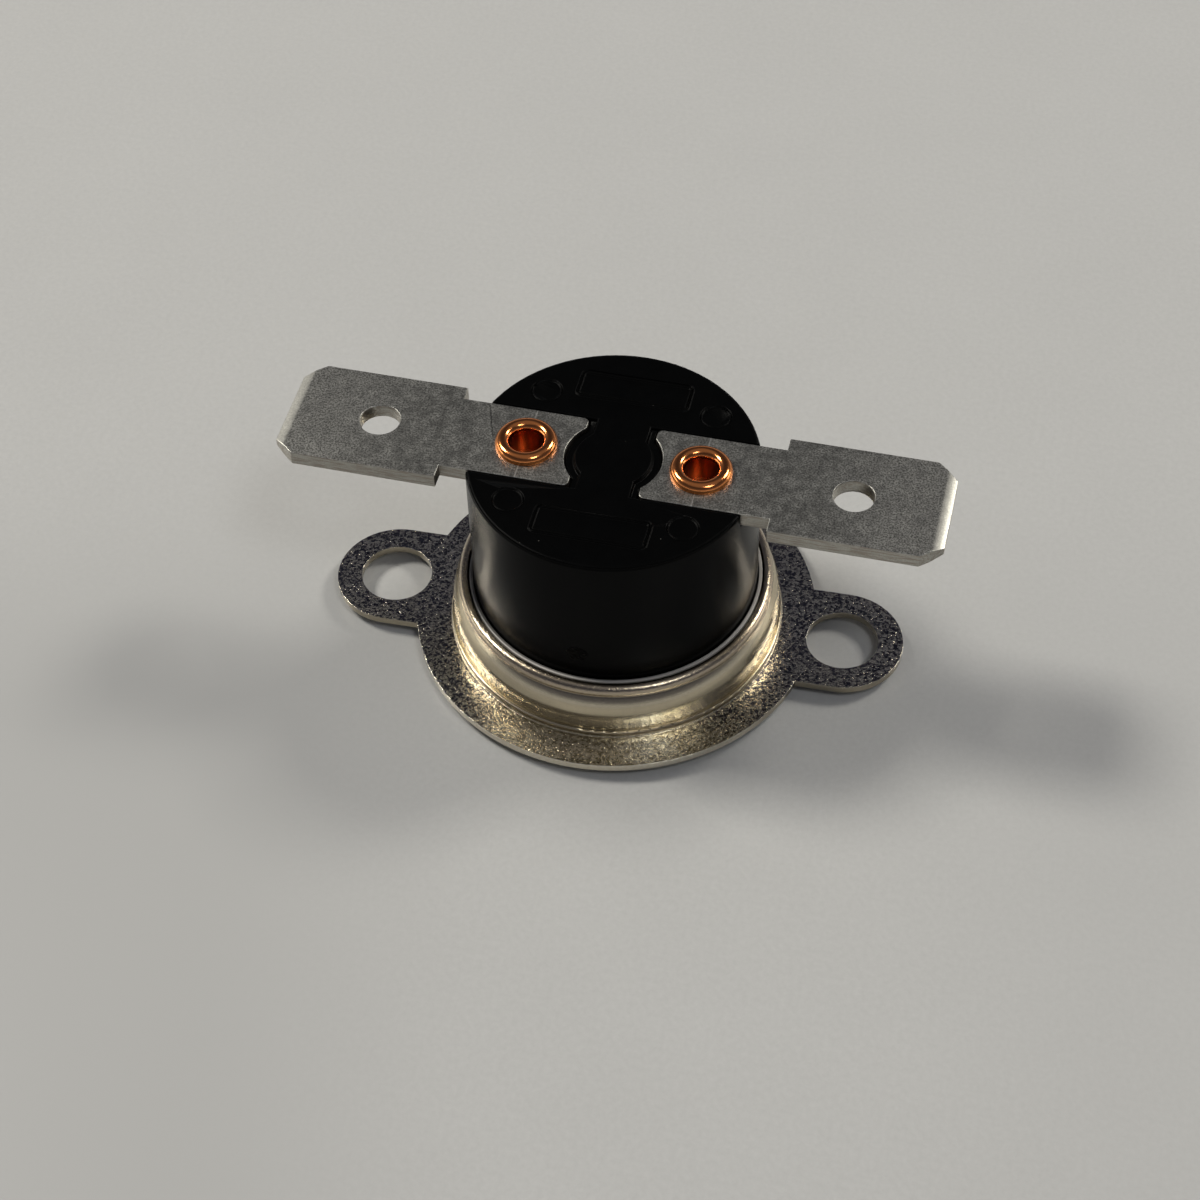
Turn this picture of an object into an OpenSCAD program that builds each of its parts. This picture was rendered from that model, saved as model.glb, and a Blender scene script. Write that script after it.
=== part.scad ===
// Bimetal thermostat with a two-eared mounting flange and two flat quick-connect terminals.
// Frame: origin at the centre of the sensing face, +Z towards the terminals, +X along the blades.
// Millimetres throughout.

/* [Body] */
// Diameter of the moulded body above the crimp
body_d = 14.7; // [13:0.1:18]
// Height of the moulded body
body_h = 10.3; // [9.8:0.1:14]
// How far the skirt at the foot stands out, for the crimp to hold
skirt_step = 0.2; // [0.15:0.05:0.4]
// Height of the skirt
skirt_h = 1; // [0.8:0.1:1.5]
// Thickness of the body's wall round the switch chamber
body_wall = 1.3; // [1:0.1:1.6]
// Thickness of the roof over the switch chamber
roof_t = 2.55; // [2.2:0.05:3]
// How far the rivet pads hang below the roof
pad_drop = 1.5; // [1.2:0.1:1.8]
// Bevel round the body's top edge
body_bevel = 0.12; // [0.05:0.01:0.3]
// Radius of the round barrier between the terminals
barrier_r = 1.95; // [1.7:0.05:2.1]
// Width of the barrier's two necks
barrier_neck = 2.75; // [2.4:0.05:3]
// How far the web between the terminals lies below the barrier
web_drop = 0.2; // [0.1:0.02:0.4]

/* [Moulding marks] */
// Diameter of the ejector pin marks
ejector_d = 1.5; // [1:0.1:2]
// Distance of the ejector pin marks from the axis
ejector_ring_r = 5.83; // [5.6:0.01:5.9]
// Angle of the ejector pin marks from the line of the blades
ejector_angle = 41.5; // [40:0.5:43]
// Length of the moulded frames
frame_l = 5.8; // [5:0.1:6]
// Width of the moulded frames
frame_w = 1.8; // [1.5:0.1:1.9]
// Distance of a frame's middle from the axis
frame_y = 4.75; // [4.6:0.05:4.8]
// Radius of a frame's corners
frame_corner_r = 0.3; // [0.22:0.02:0.5]
// Width of a frame's raised line
frame_line = 0.14; // [0.1:0.01:0.2]
// Height or depth of the moulded marks
mark_h = 0.06; // [0.04:0.01:0.1]

/* [Terminals] */
// Width of a blade
blade_w = 6.3; // [5.5:0.05:6.5]
// Thickness of the terminal strip
blade_t = 0.8; // [0.6:0.05:0.9]
// Length of a blade from its shoulder to its tip
blade_l = 8.5; // [7.5:0.1:12]
// Distance from the body's side to the blade's shoulder
shoulder_gap = 0.95; // [0.6:0.05:2]
// Width of the tail that lies in the body's top
tail_w = 4.72; // [4.2:0.02:5.2]
// Distance from the axis to the end of the tail
tail_x = 1.77; // [1.6:0.01:1.95]
// Radius of the tail's corners
tail_corner_r = 0.3; // [0.2:0.02:0.36]
// Radius of the notch in the tail's end, round the barrier
tail_notch_r = 2.45; // [2.3:0.05:2.6]
// Diameter of the hole in a blade
blade_hole_d = 2.04; // [1.6:0.02:2.4]
// Distance from a blade's tip to its hole
blade_hole_back = 4.77; // [4.2:0.01:5.5]
// Length of the chamfer at a tip's corners
tip_chamfer_l = 1.07; // [0.7:0.01:1.5]
// Width of the chamfer at a tip's corners
tip_chamfer_w = 0.88; // [0.5:0.01:1.2]
// Length of the lead-in bevel on the tip's faces
lead_in_l = 0.62; // [0.4:0.01:0.9]
// Depth of the lead-in bevel on each face
lead_in_t = 0.2; // [0.1:0.01:0.28]

/* [Rivets] */
// Distance between the rivets
rivet_spacing = 8.88; // [8.6:0.02:9.2]
// Diameter of a rivet's shank
shank_d = 2.1; // [1.8:0.05:2.2]
// Diameter of the tube's bore at the rolled end
tube_bore_d = 1.62; // [1.3:0.02:1.7]
// Depth of the tube's bore below the terminal's face
tube_depth = 1.3; // [1:0.1:2]
// Diameter of the rolled rim
rim_d = 3.14; // [2.8:0.02:3.4]
// Height of the rolled rim above the terminal
rim_h = 0.44; // [0.38:0.01:0.6]
// Diameter of a rivet's inner head
rivet_head_d = 2.6; // [2.4:0.05:2.65]
// Thickness of a rivet's inner head
rivet_head_t = 0.5; // [0.3:0.05:0.6]

/* [Cup] */
// Thickness of the cup's sheet
cup_t = 0.25; // [0.2:0.01:0.3]
// Height of the step that carries the disc
cup_step = 0.45; // [0.42:0.01:0.5]
// Radius of the sensing face inside the step
face_r = 5.9; // [5.6:0.05:6]
// Thickness of the crimped rim
cup_rim_t = 0.2; // [0.18:0.01:0.3]
// Height of the crimped rim above the cup's shoulder
cup_rim_h = 0.75; // [0.6:0.05:0.9]

/* [Mounting flange] */
// Distance between the ear holes
ear_spacing = 24; // [23.4:0.1:28]
// Diameter of the ear holes
ear_hole_d = 3.74; // [3:0.02:4.2]
// Width of the ears
ear_w = 6.34; // [5.6:0.02:7]
// Turn of the ears from the line of the blades, as the crimp left them
ear_turn = 1.5; // [-5:0.5:5]
// Thickness of the flange's sheet
flange_t = 0.4; // [0.3:0.02:0.6]
// Height of the flange's underside above the sensing face
flange_lift = 0.5; // [0.3:0.02:0.6]
// Width of the flat rim outside the collar
flange_rim = 2; // [1.4:0.05:3]
// How far the collar leans in from its foot to the cup
collar_lean = 0.22; // [0.16:0.02:0.4]
// Thickness of the drawn collar
collar_t = 0.4; // [0.34:0.02:0.5]
// Radius of the collar's barrel shape towards the lip
barrel_r = 1.67; // [1.64:0.01:1.8]
// How far the barrel stands out beyond the collar's foot
barrel_out = 0.03; // [0.02:0.01:0.05]
// How far the collar's widest place lies below the lip's middle
barrel_drop = 1.44; // [1.3:0.02:1.5]
// Radius of the upturned edge round the collar's foot
edge_r = 0.1; // [0.08:0.01:0.12]
// Height of the upturned edge's middle above the flange
edge_rise = 0.26; // [0.2:0.02:0.32]
// Radius of the fillet at the upturned edge's foot
foot_fillet = 0.08; // [0.06:0.01:0.12]
// Radius of the rolled lip at the collar's top
lip_r = 0.36; // [0.32:0.01:0.4]
// Distance from the lip's inner face to its crest
lip_crest = 0.12; // [0.08:0.01:0.16]
// Gap between the cup's rim and the lip
lip_gap = 0.1; // [0.08:0.01:0.16]

/* [Snap disc and pin] */
// Diameter of the bimetal disc
disc_d = 12.7; // [12.4:0.05:12.8]
// Thickness of the bimetal disc
disc_t = 0.2; // [0.15:0.01:0.25]
// Depth of the disc's dish
disc_dish = 0.22; // [0.15:0.01:0.24]
// Height of the guide plate's foot ring
guide_foot_h = 0.75; // [0.72:0.01:1]
// Thickness of the guide plate
guide_t = 0.5; // [0.4:0.05:0.8]
// Diameter of the guide plate's central boss
guide_boss_d = 4; // [3:0.1:5]
// Height of the guide plate's central boss
guide_boss_h = 2.5; // [1.5:0.1:3]
// Diameter of the transfer pin
pin_d = 1.5; // [1.2:0.05:1.6]
// Chamfer at the pin's ends
pin_chamfer = 0.25; // [0.1:0.01:0.4]

/* [Contacts] */
// Thickness of the contact arm
arm_t = 0.15; // [0.1:0.01:0.25]
// Width of the contact arm
arm_w = 2.2; // [1.6:0.1:2.4]
// Thickness of the fixed contact strip
strip_t = 0.3; // [0.2:0.02:0.4]
// Width of the fixed contact strip
strip_w = 2.2; // [1.6:0.1:2.4]
// Distance of the contacts from the axis
contact_x = 1.75; // [1.65:0.01:1.8]
// Diameter of the moving contact
moving_contact_d = 1.2; // [0.8:0.05:1.3]
// Thickness of the moving contact
moving_contact_t = 0.45; // [0.3:0.05:0.6]
// Diameter of the fixed contact
fixed_contact_d = 1.3; // [0.9:0.05:1.4]
// Thickness of the fixed contact
fixed_contact_t = 0.4; // [0.3:0.05:0.6]

/* [Clearances] */
// Clearance between pieces that fit round one another
fit_gap = 0.05; // [0.02:0.01:0.06]
// Clearance at each end of the pin
pin_gap = 0.02; // [0.01:0.01:0.05]
// Clearance between the disc's edge and the guide plate
disc_gap = 0.1; // [0.05:0.01:0.15]
// Gap between the free end of the arm and the fixed strip
arm_gap = 0.2; // [0.1:0.01:0.25]

/* [Hidden] */
$fn = 96;
cut = 1;

// Radii, from the body outwards
body_r = body_d / 2;
skirt_r = body_r + skirt_step;
chamber_r = body_r - body_wall;
cup_in_r = skirt_r + fit_gap;
cup_r = cup_in_r + cup_t;
cup_neck_r = body_r + fit_gap;
cup_rim_r = cup_neck_r + cup_rim_t;
lip_in_r = cup_rim_r + lip_gap;
collar_in_r = cup_r + fit_gap;
collar_foot_r = collar_in_r + collar_t + collar_lean;
flange_r = collar_foot_r + flange_rim;
disc_r = disc_d / 2;
foot_in_r = disc_r + disc_gap;

// Levels, from the sensing face upwards
ledge_z = cup_step + cup_t;
guide_z = ledge_z + guide_foot_h;
body_z = guide_z + guide_t;
skirt_z = body_z + skirt_h;
cup_shoulder_z = skirt_z + cup_t;
cup_rim_z = cup_shoulder_z + cup_rim_h;
lip_z = cup_rim_z + fit_gap;
lip_centre_z = lip_z - lip_r;
barrel_z = lip_centre_z - barrel_drop;
flange_z = flange_lift + flange_t;
top_z = body_z + body_h;
channel_z = top_z - blade_t;
roof_z = top_z - roof_t;
pad_z = roof_z - pad_drop;
arm_z = pad_z - arm_t;
contact_z = arm_z - moving_contact_t;
tongue_z = contact_z - fixed_contact_t - strip_t;

// The dished disc rests on the inner edge of the cup's ledge
disc_sphere_r = (disc_r * disc_r + disc_dish * disc_dish) / (2 * disc_dish);
seat_rise = disc_sphere_r - sqrt(disc_sphere_r * disc_sphere_r - face_r * face_r);
disc_low_z = ledge_z - seat_rise + fit_gap / 2;
pin_z = disc_low_z + disc_t + pin_gap;
pin_l = arm_z - pin_gap - pin_z;

// Places along the blades
rivet_x = rivet_spacing / 2;
shoulder_x = body_r + shoulder_gap;
tip_x = shoulder_x + blade_l;
blade_hole_x = tip_x - blade_hole_back;
arm_tip_r = moving_contact_d / 2 + fit_gap;
riser_x = contact_x + arm_tip_r + arm_gap;
tongue_r = fixed_contact_d / 2 + fit_gap;

// The arcs at the collar's foot cross their neighbours at a slight angle
edge_centre_r = collar_foot_r + 0.8 * edge_r;
edge_side_r = edge_centre_r + 0.9 * edge_r;
fillet_centre = 0.85 * foot_fillet;

module at_ejector_marks() {
    for (side = [0, 180], turn = [-1, 1])
        rotate(side + turn * ejector_angle)
            translate([ejector_ring_r, 0])
                children();
}

module rounded_rectangle(l, w, r) {
    square([l - 2 * r, w], center = true);
    square([l, w - 2 * r], center = true);
    for (x = [-1, 1], y = [-1, 1])
        translate([x * (l / 2 - r), y * (w / 2 - r)])
            circle(r);
}

module frame_outline() {
    difference() {
        rounded_rectangle(frame_l, frame_w, frame_corner_r);
        rounded_rectangle(frame_l - 2 * frame_line, frame_w - 2 * frame_line, frame_corner_r - frame_line);
    }
}

module barrier_outline() {
    circle(barrier_r);
    square([barrier_neck, 2 * body_r], center = true);
}

// Deep round the tails, shallow over the web between them
module terminal_channels() {
    translate([0, 0, channel_z])
        linear_extrude(blade_t + cut)
            difference() {
                square([2 * (body_r + cut), tail_w + 2 * fit_gap], center = true);
                square([2 * (tail_x - fit_gap), 2 * body_r], center = true);
                circle(tail_notch_r - fit_gap);
            }
    translate([0, 0, top_z - web_drop])
        linear_extrude(web_drop + cut)
            difference() {
                square([2 * tail_notch_r, tail_w + 2 * fit_gap], center = true);
                barrier_outline();
            }
}

module switch_chamber() {
    difference() {
        translate([0, 0, body_z - cut])
            cylinder(r = chamber_r, h = roof_z - body_z + cut);
        for (side = [-1, 1])
            translate([side * (riser_x + body_r / 2), 0, pad_z + pad_drop / 2 + cut / 2])
                cube([body_r, rivet_head_d + 2 * fit_gap + strip_w / 2, pad_drop + cut], center = true);
    }
}

module body_blank() {
    rotate_extrude()
        polygon([[0, body_z], [skirt_r, body_z], [skirt_r, skirt_z], [body_r, skirt_z],
                 [body_r, top_z - body_bevel], [body_r - body_bevel, top_z], [0, top_z]]);
}

module body() {
    color("#1b1c1e") {
        difference() {
            body_blank();
            terminal_channels();
            switch_chamber();
            for (side = [-1, 1])
                translate([side * rivet_x, 0, pad_z - cut])
                    cylinder(d = shank_d + 2 * fit_gap, h = top_z - pad_z + 2 * cut);
            translate([0, 0, top_z - mark_h])
                linear_extrude(mark_h + cut)
                    at_ejector_marks() circle(d = ejector_d);
        }
        for (side = [-1, 1])
            translate([0, side * frame_y, top_z - mark_h])
                linear_extrude(2 * mark_h)
                    frame_outline();
    }
}

module guide_plate() {
    color("#8c5a36")
        rotate_extrude()
            polygon([[pin_d / 2 + fit_gap, guide_z], [foot_in_r, guide_z], [foot_in_r, ledge_z],
                     [cup_in_r - fit_gap, ledge_z], [cup_in_r - fit_gap, body_z], [guide_boss_d / 2, body_z],
                     [guide_boss_d / 2, body_z + guide_boss_h], [pin_d / 2 + fit_gap, body_z + guide_boss_h]]);
}

module cup() {
    color("#a9aaa8")
        rotate_extrude()
            polygon([[0, 0], [face_r, 0], [face_r + cup_t, cup_step], [cup_r - cup_t / 2, cup_step],
                     [cup_r, cup_step + cup_t / 2], [cup_r, skirt_z], [cup_rim_r, cup_shoulder_z],
                     [cup_rim_r, cup_rim_z], [cup_neck_r, cup_rim_z], [cup_neck_r, cup_shoulder_z],
                     [cup_in_r, skirt_z], [cup_in_r, ledge_z], [face_r, ledge_z], [face_r - cup_t, cup_t],
                     [0, cup_t]]);
}

module ear_outline() {
    translate([ear_spacing / 2, 0])
        circle(d = ear_w);
    difference() {
        translate([0, -ear_w / 2])
            square([ear_spacing / 2, ear_w]);
        circle(collar_foot_r);
    }
}

module collar_profile() {
    difference() {
        union() {
            intersection() {
                translate([collar_foot_r + barrel_out - barrel_r, barrel_z])
                    circle(barrel_r);
                translate([0, flange_lift])
                    square([flange_r, lip_centre_z - flange_lift]);
            }
            translate([0, flange_lift])
                square([collar_foot_r, barrel_z - flange_lift]);
            translate([0, flange_lift])
                square([edge_side_r, flange_t + edge_rise]);
            translate([edge_centre_r, flange_z + edge_rise])
                circle(edge_r);
            translate([0, flange_lift])
                square([flange_r, flange_t]);
            translate([lip_in_r + lip_crest, lip_centre_z])
                circle(lip_r);
            difference() {
                translate([edge_side_r - foot_fillet, flange_z - foot_fillet])
                    square(foot_fillet + fillet_centre);
                translate([edge_side_r + fillet_centre, flange_z + fillet_centre])
                    circle(foot_fillet);
            }
        }
        polygon([[0, 0], [collar_foot_r - collar_t, 0], [collar_foot_r - collar_t, flange_lift],
                 [collar_in_r, skirt_z], [collar_in_r, cup_shoulder_z + fit_gap],
                 [lip_in_r, cup_shoulder_z + fit_gap], [lip_in_r, lip_z + cut], [0, lip_z + cut]]);
    }
}

module mounting_flange() {
    color("#b9b096")
        rotate(ear_turn)
            difference() {
                union() {
                    rotate_extrude()
                        collar_profile();
                    for (side = [0, 180])
                        rotate(side)
                            translate([0, 0, flange_lift])
                                linear_extrude(flange_t)
                                    ear_outline();
                }
                for (side = [-1, 1])
                    translate([side * ear_spacing / 2, 0, flange_lift - cut])
                        cylinder(d = ear_hole_d, h = flange_t + 2 * cut);
            }
}

module bimetal_disc() {
    color("#b08a4a")
        rotate_extrude()
            intersection() {
                difference() {
                    translate([0, disc_low_z + disc_sphere_r])
                        circle(disc_sphere_r, $fn = 720);
                    translate([0, disc_low_z + disc_sphere_r])
                        circle(disc_sphere_r - disc_t, $fn = 720);
                }
                square([disc_r, disc_low_z + disc_dish + disc_t]);
            }
}

module transfer_pin() {
    color("#e8e2d2")
        translate([0, 0, pin_z])
            rotate_extrude()
                polygon([[0, 0], [pin_d / 2 - pin_chamfer, 0], [pin_d / 2, pin_chamfer],
                         [pin_d / 2, pin_l - pin_chamfer], [pin_d / 2 - pin_chamfer, pin_l], [0, pin_l]]);
}

module contact_arm() {
    color("#c98a4b")
        translate([0, 0, arm_z])
            linear_extrude(arm_t)
                difference() {
                    union() {
                        translate([-rivet_x, 0])
                            circle(d = rivet_head_d);
                        translate([-rivet_x, -arm_w / 2])
                            square([rivet_x + contact_x - arm_tip_r, arm_w]);
                        translate([contact_x - arm_tip_r, -arm_tip_r])
                            square([arm_tip_r, 2 * arm_tip_r]);
                        translate([contact_x, 0])
                            circle(arm_tip_r);
                    }
                    translate([-rivet_x, 0])
                        circle(d = shank_d + 2 * fit_gap);
                }
}

module moving_contact() {
    color("#d9d9d6")
        translate([contact_x, 0, contact_z])
            cylinder(d = moving_contact_d, h = moving_contact_t);
}

module fixed_contact_strip() {
    color("#c9a34b") {
        difference() {
            translate([0, 0, pad_z - strip_t])
                linear_extrude(strip_t) {
                    translate([rivet_x, 0])
                        circle(d = rivet_head_d);
                    translate([riser_x, -strip_w / 2])
                        square([rivet_x - riser_x, strip_w]);
                }
            translate([rivet_x, 0, pad_z - strip_t - cut])
                cylinder(d = shank_d + 2 * fit_gap, h = strip_t + 2 * cut);
        }
        translate([riser_x, -strip_w / 2, tongue_z])
            cube([strip_t, strip_w, pad_z - tongue_z]);
        translate([0, 0, tongue_z])
            linear_extrude(strip_t) {
                translate([contact_x, 0])
                    circle(tongue_r);
                translate([contact_x, -tongue_r])
                    square([riser_x - contact_x, 2 * tongue_r]);
            }
    }
}

module fixed_contact() {
    color("#dededb")
        translate([contact_x, 0, tongue_z + strip_t])
            cylinder(d = fixed_contact_d, h = fixed_contact_t);
}

module tail_corner() {
    translate([tail_x, tail_w / 2 - tail_corner_r])
        difference() {
            translate([-cut, 0])
                square([tail_corner_r + cut, tail_corner_r + cut]);
            translate([tail_corner_r, 0])
                circle(tail_corner_r);
        }
}

module terminal_outline() {
    difference() {
        polygon([[tail_x, -tail_w / 2], [shoulder_x, -tail_w / 2], [shoulder_x, -blade_w / 2],
                 [tip_x - tip_chamfer_l, -blade_w / 2], [tip_x, tip_chamfer_w - blade_w / 2],
                 [tip_x, blade_w / 2 - tip_chamfer_w], [tip_x - tip_chamfer_l, blade_w / 2],
                 [shoulder_x, blade_w / 2], [shoulder_x, tail_w / 2], [tail_x, tail_w / 2]]);
        circle(tail_notch_r);
        for (side = [0, 1])
            mirror([0, side])
                tail_corner();
    }
}

// Side view of the strip, with the lead-in bevel on both faces of the tip
module terminal_side() {
    polygon([[0, 0], [tip_x - lead_in_l, 0], [tip_x, lead_in_t], [tip_x, blade_t - lead_in_t],
             [tip_x - lead_in_l, blade_t], [0, blade_t]]);
}

module terminal() {
    translate([0, 0, channel_z])
        difference() {
            intersection() {
                linear_extrude(blade_t)
                    terminal_outline();
                translate([0, blade_w / 2, 0])
                    rotate([90, 0, 0])
                        linear_extrude(blade_w)
                            terminal_side();
            }
            translate([rivet_x, 0, -cut])
                cylinder(d = shank_d + 2 * fit_gap, h = blade_t + 2 * cut);
            translate([blade_hole_x, 0, -cut])
                cylinder(d = blade_hole_d, h = blade_t + 2 * cut);
        }
}

module left_terminal() {
    color("#a7a8a6")
        rotate(180)
            terminal();
}

module right_terminal() {
    color("#a7a8a6")
        terminal();
}

// Rivet on its own axis, clamping a sheet of the given thickness under the rivet pad
module rivet(clamped_t) {
    rim_r = (rim_d - tube_bore_d) / 4;
    head_z = pad_z - clamped_t - rivet_head_t;
    rotate_extrude()
        difference() {
            union() {
                translate([0, head_z])
                    square([rivet_head_d / 2, rivet_head_t]);
                translate([0, head_z])
                    square([shank_d / 2, top_z - head_z + rim_h - rim_r]);
                intersection() {
                    translate([tube_bore_d / 2 + rim_r, top_z + rim_h - rim_r])
                        circle(rim_r);
                    translate([0, top_z])
                        square([rim_d, rim_h + cut]);
                }
            }
            translate([0, top_z - tube_depth])
                square([tube_bore_d / 2, tube_depth + rim_h + cut]);
        }
}

module left_rivet() {
    color("#c7682f")
        translate([-rivet_x, 0, 0])
            rivet(arm_t);
}

module right_rivet() {
    color("#c7682f")
        translate([rivet_x, 0, 0])
            rivet(strip_t);
}

body();
guide_plate();
cup();
mounting_flange();
bimetal_disc();
transfer_pin();
contact_arm();
moving_contact();
fixed_contact_strip();
fixed_contact();
left_terminal();
right_terminal();
left_rivet();
right_rivet();
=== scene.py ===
"""Finish of a disc thermostat: rounded edges, plated and moulded surfaces, and its table."""

import math

import bmesh
import bpy
from mathutils import Matrix, Vector, noise


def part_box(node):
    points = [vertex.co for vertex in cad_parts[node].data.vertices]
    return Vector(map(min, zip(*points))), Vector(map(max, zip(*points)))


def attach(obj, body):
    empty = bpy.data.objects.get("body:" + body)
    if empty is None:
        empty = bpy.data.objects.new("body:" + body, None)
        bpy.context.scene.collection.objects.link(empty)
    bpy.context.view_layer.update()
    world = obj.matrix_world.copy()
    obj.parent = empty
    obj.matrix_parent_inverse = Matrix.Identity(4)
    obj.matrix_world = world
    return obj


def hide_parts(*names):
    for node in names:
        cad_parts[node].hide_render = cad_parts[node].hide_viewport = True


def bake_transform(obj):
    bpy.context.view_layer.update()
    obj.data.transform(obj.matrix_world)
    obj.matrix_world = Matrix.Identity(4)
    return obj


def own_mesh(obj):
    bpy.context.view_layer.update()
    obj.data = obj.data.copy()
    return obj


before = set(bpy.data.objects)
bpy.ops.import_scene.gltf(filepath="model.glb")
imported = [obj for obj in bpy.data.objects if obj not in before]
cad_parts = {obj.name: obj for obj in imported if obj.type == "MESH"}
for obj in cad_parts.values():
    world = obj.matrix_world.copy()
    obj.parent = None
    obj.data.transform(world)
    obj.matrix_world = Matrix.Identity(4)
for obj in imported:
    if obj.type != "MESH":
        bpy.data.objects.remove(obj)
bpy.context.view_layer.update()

bl_info = {
    "name": "Disc thermostat finish",
    "version": (1, 0, 0),
    "blender": (4, 5, 0),
    "location": "3D View > Sidebar > Thermostat",
    "description": "Dresses the solids of a disc thermostat and sets its table, lamps and camera",
    "category": "Object",
}

MM = 0.001
SAME_POINT = 1e-7

# Levels and places of the solids
BODY_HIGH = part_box("body")[1]
FLANGE_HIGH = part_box("mounting_flange")[1]
CUP_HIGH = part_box("cup")[1]
TAB_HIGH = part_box("right_terminal")[1]
RIVET_LOW, RIVET_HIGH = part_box("right_rivet")
ARM_LOW, ARM_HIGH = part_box("contact_arm")
RIVET_X = (RIVET_LOW.x + RIVET_HIGH.x) / 2
BODY_WALL = max(point.co.xy.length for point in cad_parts["body"].data.vertices
                if point.co.z > BODY_HIGH.z / 2)
# Middle of the cup's rim; inside it the rim is darkened as painted shade
RIM_MID = BODY_WALL + 0.14 * MM
LIP_FOOT_Z = FLANGE_HIGH.z - 0.64 * MM
# Band at the collar's foot, darkened there as painted shade in the crease
COLLAR_FOOT_Z = (1.00 * MM, 1.22 * MM)
BLANK_TOP_Z = (0.92 * MM, 0.98 * MM)
# Reach of the ears, whose side walls take painted shade
EAR_X = (8.0 * MM, 9.5 * MM)

# Stub of the gate on the body's side
GATE_ANGLE = math.radians(-91.7)
GATE_Z = 5.65 * MM
GATE_RADIUS = 0.55 * MM
GATE_RINGS = 6
GATE_SPOKES = 36
GATE_RAGGED = 0.22
GATE_LUMP = 0.16 * MM
GATE_PROUD = 0.02 * MM
GATE_ROUGH = 0.025 * MM
GATE_EDGE = -0.01 * MM
GATE_ROOT = -0.15 * MM

# Dark line across the left blade by the body's rim: its start, its direction and its length
DARK_LINE_X, DARK_LINE_Y = -6.92 * MM, 2.26 * MM
DARK_LINE_COS, DARK_LINE_SIN = 0.321, 0.947
DARK_LINE_LENGTH = 2.3 * MM

# Bent blade of the contact arm
ARM_PARTS = 48
RIB_HEIGHT = 0.08 * MM

# Rounded edges
EDGE_SEGMENTS = 2
EDGE_ANGLE = math.radians(30)
FLAT_ANGLE = math.radians(0.03)

# Each inner finish's colour, share of metal, roughness and width of its clouds
INNER_FINISHES = {
    "guide_resin": ((0.03, 0.025, 0.02), 0.0, 0.45, 0.3 * MM),
    "pin_ceramic": ((0.80, 0.78, 0.72), 0.0, 0.35, 0.2 * MM),
    "strip_brass": ((0.78, 0.57, 0.25), 1.0, 0.28, 0.4 * MM),
    "contact_silver": ((0.90, 0.88, 0.84), 1.0, 0.20, 0.2 * MM),
    "snap_bimetal": ((0.66, 0.62, 0.56), 1.0, 0.25, 0.5 * MM),
    "spring_copper": ((0.82, 0.46, 0.26), 1.0, 0.28, 0.3 * MM),
}

# Stage: sizes in metres, the sensor's width in millimetres
TABLE_HALF = 3.0
SENSOR_WIDTH = 36
CLIP_NEAR, CLIP_FAR = 0.005, 20
LAMP_DISTANCE = 0.60

# Each lamp's name, azimuth clockwise from +Y and elevation in degrees, width and height in metres,
# share of the light and colour
LAMPS = (
    ("left_panel", -76, 47, 0.14, 0.14, 0.46, (1.0, 0.96, 0.88)),
    ("right_panel", 46, 42, 0.14, 0.14, 0.25, (1.0, 0.96, 0.88)),
    ("front_panel", 130, 60, 0.14, 0.14, 0.12, (0.96, 0.98, 1.0)),
    ("left_window", -91, 12, 0.40, 0.10, 0.019, (1.0, 0.96, 0.86)),
    ("right_window", 62, 12, 0.20, 0.10, 0.014, (1.0, 0.96, 0.86)),
)

# The room's colour by the height that a ray points to
ROOM_STOPS = (
    (0.0, (0.55, 0.55, 0.56)),
    (0.12, (0.42, 0.43, 0.45)),
    (0.30, (0.10, 0.10, 0.12)),
    (0.75, (0.030, 0.032, 0.048)),
    (0.95, (0.20, 0.20, 0.22)),
)


# Settings that a user would change

class FinishSettings(bpy.types.PropertyGroup):
    """Colours of the finishes."""

    phenolic: bpy.props.FloatVectorProperty(
        name="Phenolic", description="Colour of the black moulding", subtype="COLOR",
        size=3, min=0, max=1, default=(0.0008, 0.0009, 0.0009))
    nickel: bpy.props.FloatVectorProperty(
        name="Nickel", description="Colour of the plated flange and its collar", subtype="COLOR",
        size=3, min=0, max=1, default=(0.58, 0.51, 0.37))
    cup_metal: bpy.props.FloatVectorProperty(
        name="Cup metal", description="Colour of the drawn sensing cup", subtype="COLOR",
        size=3, min=0, max=1, default=(0.60, 0.575, 0.53))
    tin: bpy.props.FloatVectorProperty(
        name="Tin", description="Colour of the tinned blades", subtype="COLOR",
        size=3, min=0, max=1, default=(0.41, 0.407, 0.373))
    copper: bpy.props.FloatVectorProperty(
        name="Copper", description="Colour of the rolled rivets", subtype="COLOR",
        size=3, min=0, max=1, default=(0.94, 0.335, 0.105))


class EdgeSettings(bpy.types.PropertyGroup):
    """Radii of the edges that catch the light."""

    body: bpy.props.FloatProperty(
        name="Body edges", description="Radius of the moulding's edges", unit="LENGTH",
        min=0, max=0.0005, default=0.10 * MM)
    flange: bpy.props.FloatProperty(
        name="Flange edges", description="Radius of the blanked flange's edges", unit="LENGTH",
        min=0, max=0.0002, default=0.05 * MM)
    cup: bpy.props.FloatProperty(
        name="Cup edges", description="Radius of the cup rim's edges", unit="LENGTH",
        min=0, max=0.0002, default=0.04 * MM)
    blade: bpy.props.FloatProperty(
        name="Blade edges", description="Radius of the blades' edges", unit="LENGTH",
        min=0, max=0.0003, default=0.05 * MM)


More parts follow.
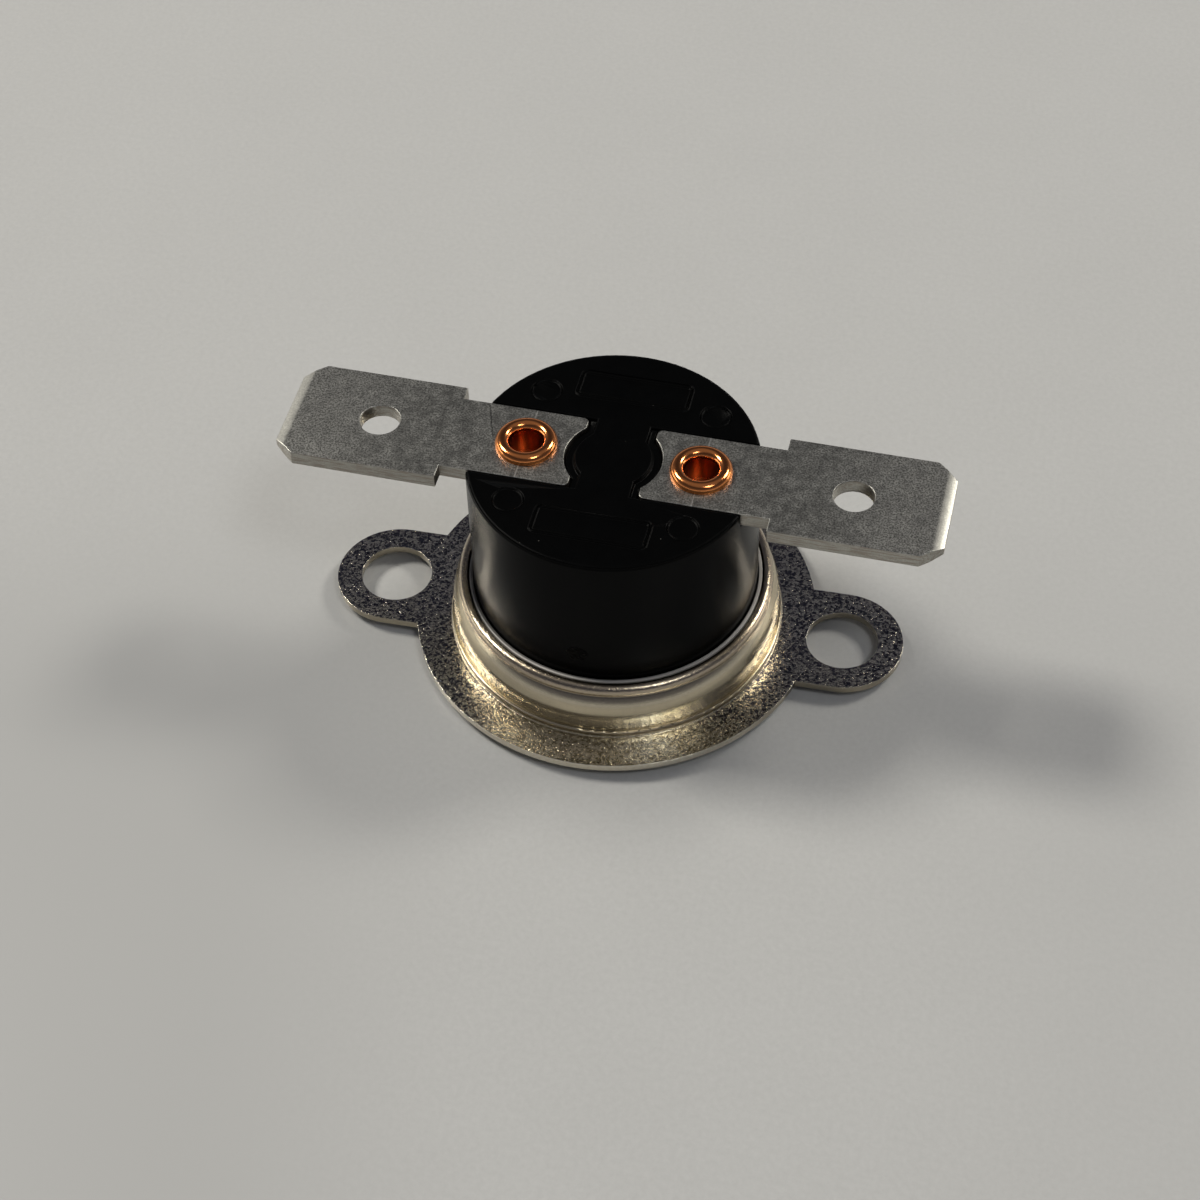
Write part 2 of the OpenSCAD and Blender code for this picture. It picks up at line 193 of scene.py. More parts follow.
class StageSettings(bpy.types.PropertyGroup):
    """Table, lamps and camera."""

    table: bpy.props.FloatVectorProperty(
        name="Table", description="Colour of the table top", subtype="COLOR",
        size=3, min=0, max=1, default=(0.51, 0.512, 0.50))
    light: bpy.props.FloatProperty(
        name="Light level", description="Level of all lamps, where 1 shows colours as written",
        min=0, max=4, default=1.0)
    azimuth: bpy.props.FloatProperty(
        name="Camera azimuth", description="Camera's turn to the right of the front",
        subtype="ANGLE", default=math.radians(14.936))
    elevation: bpy.props.FloatProperty(
        name="Camera elevation", description="Camera's height above the horizon",
        subtype="ANGLE", default=math.radians(49.467))
    roll: bpy.props.FloatProperty(
        name="Camera roll", description="Camera's turn about its own axis",
        subtype="ANGLE", default=math.radians(-1.736))
    distance: bpy.props.FloatProperty(
        name="Camera distance", description="From the camera to the point it looks at",
        unit="LENGTH", min=0.01, default=126.493 * MM)
    aim: bpy.props.FloatVectorProperty(
        name="Camera aim", description="The point that the camera looks at", subtype="XYZ",
        unit="LENGTH", size=3, default=(0.192 * MM, -4.087 * MM, 6.117 * MM))
    lens: bpy.props.FloatProperty(
        name="Lens", description="Focal length of the lens in millimetres",
        min=10, max=300, default=75.622)


# Shader sheets

class Wire:
    """A shader socket that takes part in Python expressions."""

    def __init__(self, sheet, socket):
        self.sheet = sheet
        self.socket = socket

    def join(self, operation, *terms):
        """Adds one Math node."""
        return self.sheet.node("ShaderNodeMath", {"operation": operation}, dict(enumerate(terms)))

    def __add__(self, other):
        return self.join("ADD", self, other)

    def __radd__(self, other):
        return self.join("ADD", other, self)

    def __sub__(self, other):
        return self.join("SUBTRACT", self, other)

    def __rsub__(self, other):
        return self.join("SUBTRACT", other, self)

    def __mul__(self, other):
        return self.join("MULTIPLY", self, other)

    def __rmul__(self, other):
        return self.join("MULTIPLY", other, self)

    def __pow__(self, other):
        return self.join("POWER", self, other)

    def __abs__(self):
        return self.join("ABSOLUTE", self)


class Sheet:
    """The node tree of one finish, or of the room."""

    def __init__(self, owner):
        owner.use_nodes = True
        self.tree = owner.node_tree
        self.tree.nodes.clear()

    def node(self, kind, settings=None, sockets=None, out=0):
        """Adds a node: its settings first, then the values or links of its sockets."""
        made = self.tree.nodes.new(kind)
        for key, value in (settings or {}).items():
            if key == "stops":
                ramp = made.color_ramp
                while len(ramp.elements) < len(value):
                    ramp.elements.new(1.0)
                for stop, (place, colour) in zip(ramp.elements, value):
                    stop.position = place
                    stop.color = (*colour, 1.0)
            else:
                setattr(made, key, value)
        for key, value in (sockets or {}).items():
            if isinstance(value, Wire):
                self.tree.links.new(value.socket, made.inputs[key])
            elif hasattr(value, "__len__") and made.inputs[key].type == "RGBA":
                made.inputs[key].default_value = (*tuple(value)[:3], 1.0)
            else:
                made.inputs[key].default_value = value
        return Wire(self, made.outputs[out]) if made.outputs else None

    def place(self):
        """The point on the surface, in the part's own metres."""
        return self.node("ShaderNodeTexCoord", out="Object")

    def split(self, vector):
        """The three parts of a vector."""
        return [self.node("ShaderNodeSeparateXYZ", sockets={0: vector}, out=k) for k in range(3)]

    def facing(self):
        """The three parts of the surface's own normal."""
        return self.split(self.node("ShaderNodeTexCoord", out="Normal"))

    def radius(self, x, y):
        """Distance from a vertical axis."""
        return (x * x + y * y) ** 0.5

    def ease(self, value, low, high):
        """0 at low, 1 at high and smooth between."""
        return self.node("ShaderNodeMapRange", {"interpolation_type": "SMOOTHSTEP"},
                         {"Value": value, "From Min": low, "From Max": high})

    def span(self, value, low, high, soft):
        """1 between low and high, with soft ends."""
        return self.ease(value, low - soft, low + soft) * self.ease(value, high + soft, high - soft)

    def stretch(self, vector, turn=0.0, scale=(1, 1, 1)):
        """A vector turned about the vertical axis and then scaled."""
        turned = self.node("ShaderNodeVectorRotate", {"rotation_type": "Z_AXIS"},
                           {"Vector": vector, "Angle": turn})
        return self.node("ShaderNodeVectorMath", {"operation": "MULTIPLY"}, {0: turned, 1: scale})

    def noise(self, vector, pitch, detail=2.0, rough=0.5, twist=0.0):
        """Cloudy noise whose lumps are about a pitch wide, in metres."""
        return self.node("ShaderNodeTexNoise", None, {
            "Vector": vector, "Scale": 1 / pitch, "Detail": detail, "Roughness": rough,
            "Distortion": twist})

    def cells(self, vector, pitch):
        """Distance from the middle of cells about a pitch wide, in metres."""
        return self.node("ShaderNodeTexVoronoi", None, {"Vector": vector, "Scale": 1 / pitch},
                         out="Distance")

    def mix(self, share, first, second):
        """A colour between two."""
        return self.node("ShaderNodeMix", {"data_type": "RGBA"}, {0: share, 6: first, 7: second}, 2)

    def scratches(self, vector, turn, pitch, length, share):
        """Fine straight lines in one direction, 1 on a line and 0 off it."""
        drawn = self.stretch(vector, turn, (pitch / length, 1, 1))
        lines = self.noise(drawn, pitch, 1.0, 0.4)
        return self.ease(lines, 1 - share, 1 - share + 0.05)

    def bump(self, height, depth, under=None):
        """A normal bent by a height of 0 to 1, which stands for a depth in metres."""
        sockets = {"Height": height, "Distance": depth, "Strength": 1.0}
        if under is not None:
            sockets["Normal"] = under
        return self.node("ShaderNodeBump", None, sockets)

    def surface(self, sockets):
        """The shader and the output."""
        shader = self.node("ShaderNodeBsdfPrincipled", None, sockets)
        self.node("ShaderNodeOutputMaterial", None, {"Surface": shader})


def finish_sheet(name):
    """A new material with an empty sheet."""
    material = bpy.data.materials.new(name)
    return material, Sheet(material)


def toned(colour, share):
    """A colour made darker or lighter."""
    return [share * part for part in colour]


# Finishes

def phenolic_finish(colour):
    """Black moulding: matt top, satin sides."""
    material, sheet = finish_sheet("phenolic_moulding")
    place = sheet.place()
    top = sheet.ease(sheet.facing()[2], 0.5, 0.9)
    fine = sheet.noise(place, 0.07 * MM, 3.0, 0.6)
    cloud = sheet.noise(place, 0.9 * MM, 3.0, 0.55)
    fleck = sheet.cells(place, 0.45 * MM)
    dust = sheet.ease(fleck, 0.07, 0.04) * sheet.ease(cloud, 0.6, 0.68) * top
    base = sheet.mix(cloud, toned(colour, 0.75), toned(colour, 1.3))
    base = sheet.mix(dust * 0.5, base, (0.20, 0.19, 0.17))
    normal = sheet.bump(fine * (0.45 + 0.55 * top), 0.010 * MM)
    sheet.surface({
        "Base Color": base,
        "Roughness": 0.20 + 0.12 * top + 0.08 * cloud,
        "Specular IOR Level": 0.045,
        "Normal": normal,
    })
    return material


def fracture_finish(colour):
    """Broken face where the moulding's gate was snapped off."""
    material, sheet = finish_sheet("gate_fracture")
    place = sheet.place()
    fine = sheet.noise(place, 0.10 * MM, 4.0, 0.7)
    fleck = sheet.ease(fine, 0.58, 0.66)
    sheet.surface({
        "Base Color": sheet.mix(fleck, toned(colour, 0.4), (0.045, 0.043, 0.040)),
        "Roughness": 0.35 + 0.3 * fine,
        "Specular IOR Level": 0.04,
        "Normal": sheet.bump(fine, 0.09 * MM),
    })
    return material


def nickel_finish(colour, edge):
    """Nickel plate: coarse grain on the flat blank, drawn smooth on the collar, rough on its lip."""
    material, sheet = finish_sheet("nickel_plate")
    place = sheet.place()
    x, y, z = sheet.split(place)
    upright = abs(sheet.facing()[2])
    low = sheet.ease(z, BLANK_TOP_Z[1], BLANK_TOP_Z[0])
    flat = sheet.ease(upright, 0.80, 0.97) * low
    rim = sheet.ease(upright, 0.7, 0.4) * low
    lip = sheet.ease(z, LIP_FOOT_Z, LIP_FOOT_Z + 0.12 * MM)
    painted_valley_shade = sheet.span(z, LIP_FOOT_Z - 0.06 * MM, LIP_FOOT_Z + 0.06 * MM, 0.05 * MM)
    foot = sheet.span(z, *COLLAR_FOOT_Z, 0.05 * MM)
    ear = sheet.ease(abs(x), *EAR_X)
    grain = sheet.noise(place, 0.16 * MM, 3.0, 0.62, 0.8)
    peel = sheet.noise(place, 0.38 * MM, 2.0, 0.5)
    cloud = sheet.noise(place, 1.6 * MM, 2.0, 0.5)
    patch = sheet.ease(sheet.noise(place, 2.6 * MM, 2.0, 0.5), 0.45, 0.62) * (1 - flat)
    drawn = sheet.noise(sheet.stretch(place, 0.0, (1, 1, 0.06)), 0.14 * MM, 2.0, 0.6)
    base = sheet.mix(0.5 * cloud + 0.3 * drawn, toned(colour, 1.12), toned(colour, 0.72))
    base = sheet.mix(0.6 * lip, base, (0.42, 0.34, 0.26))
    # Painted shade: the groove under the collar's lip is darkened.
    base = sheet.mix(0.2 * painted_valley_shade, base, (0.16, 0.11, 0.075))
    # Painted shade: a dark band along the crease at the collar's foot.
    base = sheet.mix(0.8 * foot, base, (0.16, 0.12, 0.07))
    # Painted reflection: on strips at the front and back of the blank, from a little left of the middle
    # rightwards, the grain is painted lighter.
    front = sheet.ease(abs(y), 5.5 * MM, 8.5 * MM) * sheet.ease(x, -6.5 * MM, -2.5 * MM)
    # Painted glint: a round patch at the front right of the blank where the light grains are brighter
    # and more frequent.
    painted_glint = sheet.ease(sheet.radius(x - 4.0 * MM, y + 8.6 * MM), 2.6 * MM, 0.4 * MM)
    painted_glint = painted_glint * sheet.ease(cloud, 0.30, 0.60)
    # Dark pits and light grains of the blank, both painted lighter on those strips as painted
    # reflection.
    pit = sheet.mix(front, (0.10, 0.097, 0.125), (0.48, 0.42, 0.29))
    spark = sheet.mix(front, (0.72, 0.67, 0.55), (0.98, 0.90, 0.70))
    spark = sheet.mix(painted_glint, spark, (1.0, 0.98, 0.88))
    speck = sheet.mix(sheet.ease(grain, 0.43 - 0.06 * painted_glint, 0.57 - 0.06 * painted_glint), pit, spark)
    base = sheet.mix(flat, base, speck)
    # Painted highlight: the blank's cut side walls are painted lighter than its top, with grain.
    base = sheet.mix(rim, base, sheet.mix(grain, (0.45, 0.40, 0.30), (0.86, 0.80, 0.68)))
    # Painted shade: the side walls of the ears and of their holes are darkened.
    base = sheet.mix(0.55 * rim * ear, base, (0.14, 0.11, 0.06))
    rough = 0.08 + 0.92 * flat + 0.5 * lip + 0.25 * patch
    height = (grain * rough + 0.15 * drawn * (1 - flat)) * (1 - foot) + 0.5 * peel * flat
    rounded = sheet.node("ShaderNodeBevel", {"samples": 6}, {"Radius": edge})
    sheet.surface({
        "Base Color": base,
        "Metallic": 1.0,
        "Roughness": 0.19 + 0.06 * cloud - 0.04 * flat + 0.15 * foot,
        "Normal": sheet.bump(height, 0.024 * MM, under=rounded),
    })
    return material


def cup_finish(colour):
    """Drawn metal of the cup: a matt grey rim whose inner part is painted dark as shade, and faint
    turned rings.
    """
    material, sheet = finish_sheet("drawn_cup_metal")
    place = sheet.place()
    x, y, z = sheet.split(place)
    rim = sheet.ease(z, CUP_HIGH.z - 0.25 * MM, CUP_HIGH.z - 0.15 * MM)
    inner = sheet.ease(sheet.radius(x + 0.05 * MM, y), RIM_MID + 0.03 * MM, RIM_MID - 0.03 * MM)
    inner = rim * inner
    turned = sheet.node("ShaderNodeCombineXYZ", None, {0: sheet.radius(x, y), 1: 0.05 * z})
    rings = sheet.noise(turned, 0.10 * MM, 2.0, 0.6)
    cloud = sheet.noise(place, 1.3 * MM, 3.0, 0.5)
    fine = sheet.noise(place, 0.09 * MM, 2.0, 0.5)
    tone = 0.4 * cloud + 0.25 * fine + 0.35 * rings
    base = sheet.mix(tone, toned(colour, 0.65), toned(colour, 1.3))
    # Painted shade: the rim's inner part, against the body, is darkened; its edge is set a little off
    # the middle.
    base = sheet.mix(0.8 * inner, base, (0.05, 0.048, 0.045))
    sheet.surface({
        "Base Color": base,
        "Metallic": 1 - 0.7 * rim,
        "Roughness": 0.36 + 0.12 * cloud + 0.15 * rim,
        "Normal": sheet.bump(rings + 0.8 * fine, 0.006 * MM),
    })
    return material


def tin_finish(colour):
    """Tin plate of the blades: grey and cloudy, with fine dark scratches, a light tick at each rivet
    and a dark line across the left blade by the body's rim; painted highlight and shade on the side
    faces."""
    material, sheet = finish_sheet("tin_plate")
    place = sheet.place()
    x, y, _ = sheet.split(place)
    upright = abs(sheet.facing()[2])
    side = sheet.ease(upright, 0.6, 0.3)
    tip = sheet.ease(abs(x), TAB_HIGH.x - 0.60 * MM, TAB_HIGH.x - 0.45 * MM)
    cloud = sheet.noise(place, 0.55 * MM, 5.0, 0.70)
    grain = sheet.noise(place, 0.09 * MM, 3.0, 0.60)
    drawn = sheet.noise(sheet.stretch(place, 0.0, (0.08, 1, 1)), 0.09 * MM, 2.0, 0.6)
    width = 0.05 * MM
    lines = sheet.scratches(place, 0.45, width, 1.3 * MM, 0.30)
    for turn, length, share in ((1.25, 0.9, 0.29), (1.95, 1.6, 0.28), (2.7, 0.7, 0.30)):
        lines = lines + sheet.scratches(place, turn, width, length * MM, share)
    tick = sheet.span(abs(x) - RIVET_X, -0.03 * MM, 0.03 * MM, 0.02 * MM)
    tick = tick * sheet.ease(abs(y), 1.5 * MM, 1.6 * MM)
    aside = (x - DARK_LINE_X) * DARK_LINE_SIN + (y - DARK_LINE_Y) * DARK_LINE_COS
    along = (x - DARK_LINE_X) * DARK_LINE_COS - (y - DARK_LINE_Y) * DARK_LINE_SIN
    dark_line = sheet.span(aside + 0.06 * MM * cloud, 0.0, 0.06 * MM, 0.03 * MM)
    dark_line = dark_line * sheet.span(along, 0.0, DARK_LINE_LENGTH, 0.1 * MM)
    base = sheet.mix(sheet.ease(cloud, 0.3, 0.7), toned(colour, 0.62), toned(colour, 1.30))
    base = sheet.mix(sheet.ease(abs(x), 9 * MM, 15 * MM) * 0.45, base, (0.66, 0.65, 0.60))
    base = sheet.mix(sheet.ease(grain, 0.66, 0.32) * 0.95, base, toned(colour, 0.28))
    base = sheet.mix(lines * 0.65, base, toned(colour, 0.28))
    # A dark line across the left blade, by the body's rim.
    base = sheet.mix(dark_line * 0.7, base, (0.03, 0.03, 0.028))
    base = sheet.mix(tick * 0.4, base, (0.90, 0.89, 0.84))
    # Painted highlight: the blades' side faces are painted lighter.
    base = sheet.mix(side * 0.7, base, (0.52, 0.505, 0.455))
    # Painted shade: the side faces of the blades' inner ends, near the middle, are darkened.
    base = sheet.mix(sheet.ease(abs(x), 2.5 * MM, 2.2 * MM) * side, base, (0.10, 0.098, 0.09))
    base = sheet.mix(tip * (1 - side) * 0.6, base, (0.72, 0.71, 0.64))
    base = sheet.mix(side * sheet.ease(drawn, 0.58, 0.40) * 0.6, base, (0.27, 0.22, 0.18))
    sheet.surface({
        "Base Color": base,
        "Metallic": 1.0,
        "Roughness": 0.36 + 0.10 * cloud,
        "Normal": sheet.bump(0.6 * grain + 0.7 * cloud + 0.8 * drawn * side, 0.010 * MM),
    })
    return material


def copper_finish(colour):
    """Bright rolled copper, dull and dark red down the bore."""
    material, sheet = finish_sheet("rolled_copper")
    place = sheet.place()
    x, y, z = sheet.split(place)
    cloud = sheet.noise(place, 0.4 * MM, 3.0, 0.6)
    fine = sheet.noise(place, 0.08 * MM, 2.0, 0.5)
    bore = sheet.ease(sheet.radius(abs(x) - RIVET_X, y), 0.95 * MM, 0.84 * MM)
    bore = bore * sheet.ease(z, RIVET_HIGH.z - 0.20 * MM, RIVET_HIGH.z - 0.45 * MM)
    floor = bore * sheet.ease(sheet.facing()[2], 0.6, 0.9)
    base = sheet.mix(cloud, colour, toned(colour, 0.85))
    base = sheet.mix(bore, base, (0.26, 0.075, 0.026))
    base = sheet.mix(floor, base, (0.95, 0.45, 0.18))
    sheet.surface({
        "Base Color": base,
        "Metallic": 1.0,
        "Roughness": 0.13 + 0.06 * cloud + 0.16 * bore,
        "Normal": sheet.bump(cloud + 0.4 * fine, 0.006 * MM),
    })
    return material


def inner_finish(name):
    """Plain working finish of a piece inside the housing."""
    colour, metallic, roughness, pitch = INNER_FINISHES[name]
    material, sheet = finish_sheet(name)
    cloud = sheet.noise(sheet.place(), pitch, 3.0, 0.55)
    sheet.surface({
        "Base Color": sheet.mix(cloud, toned(colour, 0.8), colour),
        "Metallic": metallic,
        "Roughness": roughness + 0.12 * cloud,
        "Normal": sheet.bump(cloud, 0.004 * MM),
    })
    return material


def table_finish(colour):
    """Pale satin table top with painted shade, a little darker to the left and right of the part's
    front.
    """
    material, sheet = finish_sheet("table_top")
    place = sheet.place()
    cloud = sheet.noise(place, 9 * MM, 4.0, 0.6)
    fine = sheet.noise(place, 0.30 * MM, 3.0, 0.65)
    across, along, _ = sheet.split(sheet.stretch(place, -0.26))
    # Painted shade: the table is darkened to the left of the part's front and, less, to its right.
    dim = sheet.ease(across, -5 * MM, -22 * MM) * sheet.ease(along, 14 * MM, -6 * MM)
    dim = dim + 0.35 * sheet.ease(across, 10 * MM, 24 * MM) * sheet.ease(along, 10 * MM, -6 * MM)
    base = sheet.mix(0.25 * cloud + 0.75 * fine, toned(colour, 0.87), toned(colour, 1.13))
    base = sheet.mix(dim, base, toned(colour, 0.89))
    sheet.surface({
        "Base Color": base,
        "Roughness": 0.31 + 0.05 * fine,
        "Specular IOR Level": 0.4,
        "Normal": sheet.bump(fine, 0.004 * MM),
    })
    return material


# Shaping

def round_edges(name, radius):
    """Rounds a solid's sharp edges with modifiers; the solid's own mesh stays as it is."""
    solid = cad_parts[name]
    weld = solid.modifiers.new("join_faces", "WELD")
    weld.merge_threshold = SAME_POINT
    merge = solid.modifiers.new("flat_faces", "DECIMATE")
    merge.decimate_type = "DISSOLVE"
    merge.angle_limit = FLAT_ANGLE
    bevel = solid.modifiers.new("round_edges", "BEVEL")
    bevel.width = radius
    bevel.segments = EDGE_SEGMENTS
    bevel.limit_method = "ANGLE"
    bevel.angle_limit = EDGE_ANGLE
    bevel.use_clamp_overlap = False
    weighted = solid.modifiers.new("even_shading", "WEIGHTED_NORMAL")
    weighted.mode = "FACE_AREA_WITH_ANGLE"


def dress(names, material):
    """Gives solids their finish."""
    for name in names:
        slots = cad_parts[name].data.materials
        slots.clear()
        slots.append(material)


def copy_of(name, label):
    """A piece that starts from a solid's own mesh."""
    piece = bpy.data.objects.new(label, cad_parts[name].data.copy())
    bpy.context.scene.collection.objects.link(piece)
    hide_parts(name)
    return piece


def climb(value, low, high):
    """0 at low, 1 at high and smooth between."""
    share = min(max((value - low) / (high - low), 0), 1)
    return share * share * (3 - 2 * share)


def gate_mark():
    """The stub left on the body's side where the gate was snapped off: rough, with a ragged outline."""
    face = bmesh.new()
    angles = [2 * math.pi * spoke / GATE_SPOKES for spoke in range(GATE_SPOKES)]

    def point(reach, angle, proud):
        """A corner of the stub, at a height over the body's wall."""
        across, rise = reach * math.cos(angle), reach * math.sin(angle)
        turn, level = GATE_ANGLE + across / BODY_WALL, BODY_WALL + proud
        return face.verts.new((level * math.cos(turn), level * math.sin(turn), GATE_Z + rise))

    rows = []
    for ring in range(1, GATE_RINGS + 1):
        row = []
        for angle in angles:
            outline = Vector((2 * math.cos(angle), 2 * math.sin(angle), 0.3))
            ragged = 1 + GATE_RAGGED * noise.noise(outline)
            reach = GATE_RADIUS * ragged * ring / GATE_RINGS
            spot = Vector((reach * math.cos(angle), reach * math.sin(angle), 0))
            lump = noise.noise(spot / GATE_LUMP)
            proud = GATE_PROUD + GATE_ROUGH * lump if ring < GATE_RINGS else GATE_EDGE
            row.append(point(reach, angle, proud))
        rows.append(row)
    rows.append([point(GATE_RADIUS * 0.8, angle, GATE_ROOT) for angle in angles])
    face.faces.new(rows[0])
    for inner, outer in zip(rows, rows[1:]):
        for spoke in range(GATE_SPOKES):
            after = (spoke + 1) % GATE_SPOKES
            face.faces.new((inner[spoke], outer[spoke], outer[after], inner[after]))
    face.faces.new(list(reversed(rows[-1])))
    bmesh.ops.recalc_face_normals(face, faces=face.faces)
    mesh = bpy.data.meshes.new("gate_mark")
    face.to_mesh(mesh)
    face.free()
    mark = bpy.data.objects.new("gate_mark", mesh)
    bpy.context.scene.collection.objects.link(mark)
    return mark


# Stage

def lay_table(stage):
    """A wide flat table under the sensing face."""
    signs = ((-1, -1), (1, -1), (1, 1), (-1, 1))
    mesh = bpy.data.meshes.new("table_top")
    mesh.from_pydata([(x * TABLE_HALF, y * TABLE_HALF, 0) for x, y in signs], [], [(0, 1, 2, 3)])
    table = bpy.data.objects.new("table_top", mesh)
    mesh.materials.append(table_finish(stage.table))
    bpy.context.scene.collection.objects.link(table)


def light_room(stage):
    """Three soft panels, two low windows and a dim room."""
    for name, azimuth, elevation, width, height, share, colour in LAMPS:
        turn, rise = math.radians(azimuth), math.radians(elevation)
        flat = math.cos(rise)
        toward = Vector((math.sin(turn) * flat, math.cos(turn) * flat, math.sin(rise)))
        lamp = bpy.data.lights.new(name, "AREA")
        lamp.shape = "RECTANGLE"
        lamp.size, lamp.size_y = width, height
        lamp.color = colour
        lamp.energy = stage.light * share * math.pi ** 2 * LAMP_DISTANCE ** 2 / math.sin(rise)
        holder = bpy.data.objects.new(name, lamp)
        holder.location = toward * LAMP_DISTANCE
        holder.rotation_mode = "QUATERNION"
        holder.rotation_quaternion = toward.to_track_quat("Z", "Y")
        bpy.context.scene.collection.objects.link(holder)
    world = bpy.data.worlds.new("dim_room")
    bpy.context.scene.world = world
    sheet = Sheet(world)
    up = sheet.split(sheet.node("ShaderNodeTexCoord", out="Generated"))[2]
    tint = sheet.node("ShaderNodeValToRGB", {"stops": ROOM_STOPS}, {"Fac": up})
    shade = sheet.node("ShaderNodeBackground", None, {"Color": tint, "Strength": stage.light})
    sheet.node("ShaderNodeOutputWorld", None, {"Surface": shade})


def set_camera(stage):
    """The camera, at the angle the part is seen from."""
    turn, rise, roll = stage.azimuth, stage.elevation, stage.roll
    flat = math.cos(rise)
    back = Vector((math.sin(turn) * flat, -math.cos(turn) * flat, math.sin(rise)))
    level = Vector((math.cos(turn), math.sin(turn), 0))
    across = back.cross(level)
    right = level * math.cos(roll) + across * math.sin(roll)
    up = across * math.cos(roll) - level * math.sin(roll)
    eye = Vector(stage.aim) + back * stage.distance
    lens = bpy.data.cameras.new("camera")
    lens.sensor_width = SENSOR_WIDTH
    lens.lens = stage.lens
    lens.clip_start, lens.clip_end = CLIP_NEAR, CLIP_FAR
    camera = bpy.data.objects.new("camera", lens)
    camera.matrix_world = Matrix((right, up, back)).transposed().to_4x4()
    camera.location = eye
    bpy.context.scene.collection.objects.link(camera)
    bpy.context.scene.camera = camera


# Operators

class THERMOSTAT_OT_body(bpy.types.Operator):
    """Dress the black moulding"""

    bl_idname = "thermostat.body"
    bl_label = "Body moulding"

    def execute(self, context):
        round_edges("body", context.scene.thermostat_edges.body)
        colour = context.scene.thermostat_finish.phenolic
        dress(["body"], phenolic_finish(colour))
        mark = gate_mark()
        mark.data.materials.append(fracture_finish(colour))
        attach(mark, "housing")
        return {"FINISHED"}


class THERMOSTAT_OT_flange(bpy.types.Operator):
    """Dress the plated flange with its drawn collar"""

    bl_idname = "thermostat.flange"
    bl_label = "Mounting flange"

    def execute(self, context):
        dress(["mounting_flange"], nickel_finish(context.scene.thermostat_finish.nickel,
                                                 context.scene.thermostat_edges.flange))
        return {"FINISHED"}


class THERMOSTAT_OT_cup(bpy.types.Operator):
    """Dress the drawn sensing cup"""

    bl_idname = "thermostat.cup"
    bl_label = "Sensing cup"

    def execute(self, context):
        round_edges("cup", context.scene.thermostat_edges.cup)
        dress(["cup"], cup_finish(context.scene.thermostat_finish.cup_metal))
        return {"FINISHED"}


class THERMOSTAT_OT_terminals(bpy.types.Operator):
    """Dress both tinned blades"""

    bl_idname = "thermostat.terminals"
    bl_label = "Terminal blades"

    def execute(self, context):
        names = ["left_terminal", "right_terminal"]
        for name in names:
            round_edges(name, context.scene.thermostat_edges.blade)
        dress(names, tin_finish(context.scene.thermostat_finish.tin))
        return {"FINISHED"}


class THERMOSTAT_OT_rivets(bpy.types.Operator):
    """Dress both rolled copper rivets"""

    bl_idname = "thermostat.rivets"
    bl_label = "Rivets"

    def execute(self, context):
        dress(["left_rivet", "right_rivet"], copper_finish(context.scene.thermostat_finish.copper))
        return {"FINISHED"}


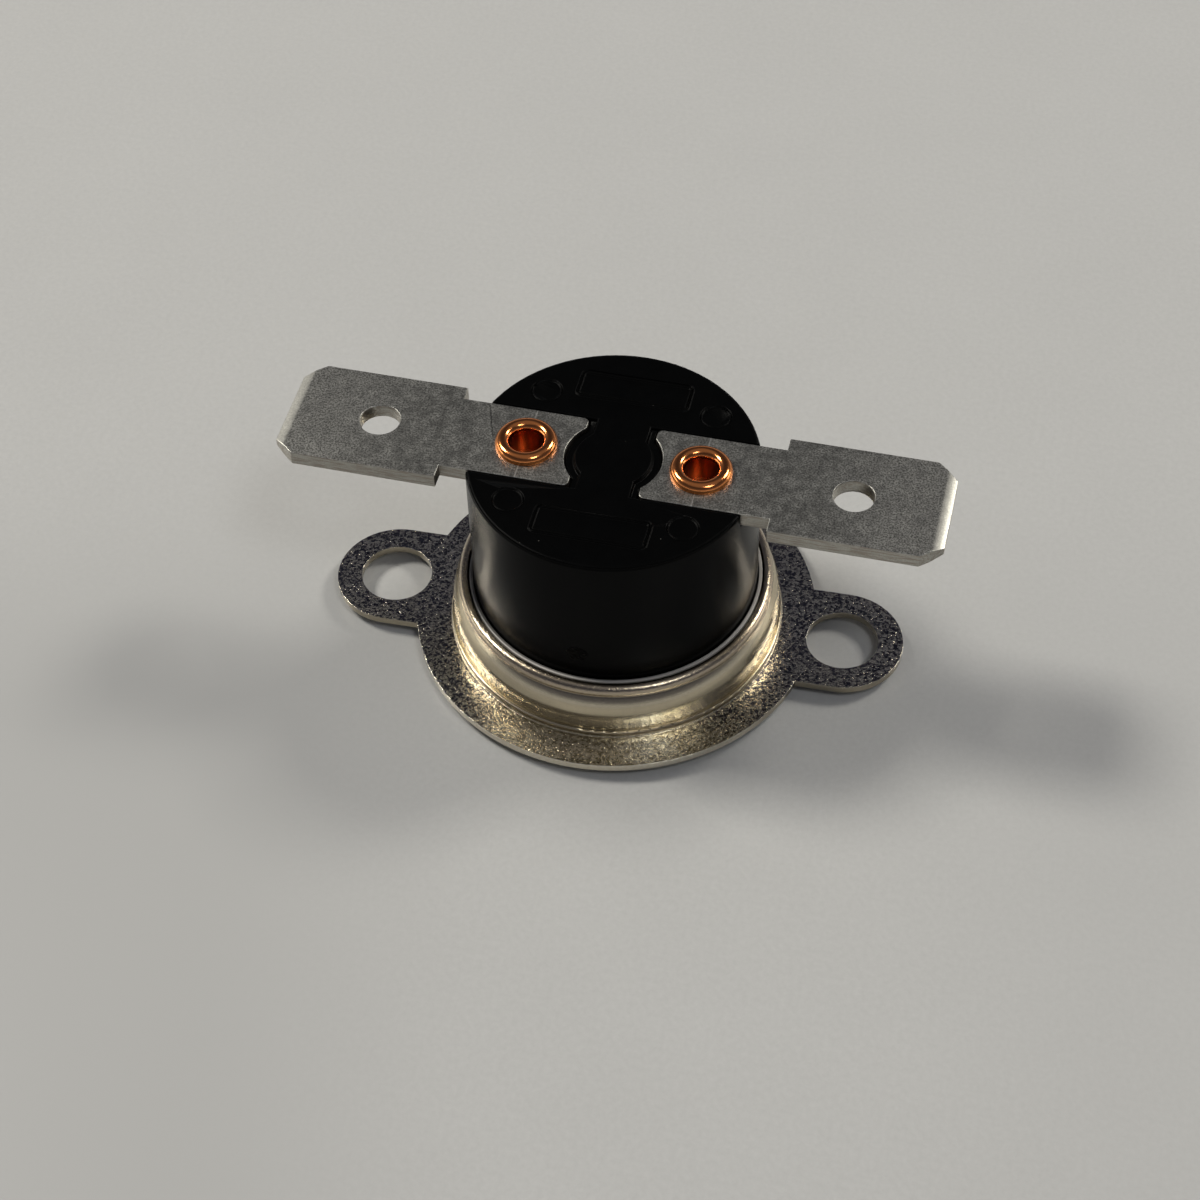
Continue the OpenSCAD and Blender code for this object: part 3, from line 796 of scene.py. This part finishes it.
class THERMOSTAT_OT_mechanism(bpy.types.Operator):
    """Dress the snap disc, pin, arm and contacts inside the housing"""

    bl_idname = "thermostat.mechanism"
    bl_label = "Snap mechanism"

    def execute(self, context):
        dress(["guide_plate"], inner_finish("guide_resin"))
        dress(["transfer_pin"], inner_finish("pin_ceramic"))
        dress(["fixed_contact_strip"], inner_finish("strip_brass"))
        dress(["fixed_contact", "moving_contact"], inner_finish("contact_silver"))
        disc = copy_of("bimetal_disc", "snap_disc")
        disc.data.materials.clear()
        disc.data.materials.append(inner_finish("snap_bimetal"))
        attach(disc, "housing")
        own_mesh(disc)
        arm = copy_of("contact_arm", "contact_arm_blade")
        blade = bmesh.new()
        blade.from_mesh(arm.data)
        bmesh.ops.remove_doubles(blade, verts=blade.verts, dist=SAME_POINT)
        for part in range(1, ARM_PARTS):
            cut = ARM_LOW.x + (ARM_HIGH.x - ARM_LOW.x) * part / ARM_PARTS
            bmesh.ops.bisect_plane(blade, geom=[*blade.verts, *blade.edges, *blade.faces],
                                   plane_co=(cut, 0, 0), plane_no=(1, 0, 0))
        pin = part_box("transfer_pin")[0]
        for point in blade.verts:
            rise = climb(point.co.x, 1.5 * pin.x, pin.x)
            fall = climb(point.co.x, -0.4 * pin.x, 0.3 * pin.x)
            point.co.z += RIB_HEIGHT * rise * fall
        blade.to_mesh(arm.data)
        blade.free()
        arm.data.materials.clear()
        arm.data.materials.append(inner_finish("spring_copper"))
        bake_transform(arm)
        return {"FINISHED"}


class THERMOSTAT_OT_stage(bpy.types.Operator):
    """Set the table, lamps, room and camera"""

    bl_idname = "thermostat.stage"
    bl_label = "Table and camera"

    def execute(self, context):
        stage = context.scene.thermostat_stage
        lay_table(stage)
        light_room(stage)
        set_camera(stage)
        context.scene.view_settings.view_transform = "Standard"
        return {"FINISHED"}


class VIEW3D_PT_thermostat(bpy.types.Panel):
    """The thermostat's settings and steps"""

    bl_label = "Thermostat"
    bl_space_type = "VIEW_3D"
    bl_region_type = "UI"
    bl_category = "Thermostat"

    def draw(self, context):
        for group in (context.scene.thermostat_finish, context.scene.thermostat_edges,
                      context.scene.thermostat_stage):
            for key in group.__annotations__:
                self.layout.prop(group, key)
        for step in STEPS:
            self.layout.operator(step.bl_idname)


STEPS = (THERMOSTAT_OT_stage, THERMOSTAT_OT_body, THERMOSTAT_OT_flange, THERMOSTAT_OT_cup,
         THERMOSTAT_OT_terminals, THERMOSTAT_OT_rivets, THERMOSTAT_OT_mechanism)
CLASSES = (FinishSettings, EdgeSettings, StageSettings, *STEPS, VIEW3D_PT_thermostat)


def register():
    """Adds the classes and the scene's settings."""
    for made in CLASSES:
        bpy.utils.register_class(made)
    bpy.types.Scene.thermostat_finish = bpy.props.PointerProperty(type=FinishSettings)
    bpy.types.Scene.thermostat_edges = bpy.props.PointerProperty(type=EdgeSettings)
    bpy.types.Scene.thermostat_stage = bpy.props.PointerProperty(type=StageSettings)


def unregister():
    """Takes them out again."""
    del bpy.types.Scene.thermostat_stage
    del bpy.types.Scene.thermostat_edges
    del bpy.types.Scene.thermostat_finish
    for made in reversed(CLASSES):
        bpy.utils.unregister_class(made)


def main():
    """Runs every step."""
    register()
    for step in STEPS:
        group, name = step.bl_idname.split(".")
        getattr(getattr(bpy.ops, group), name)()


if __name__ == "__main__":
    main()
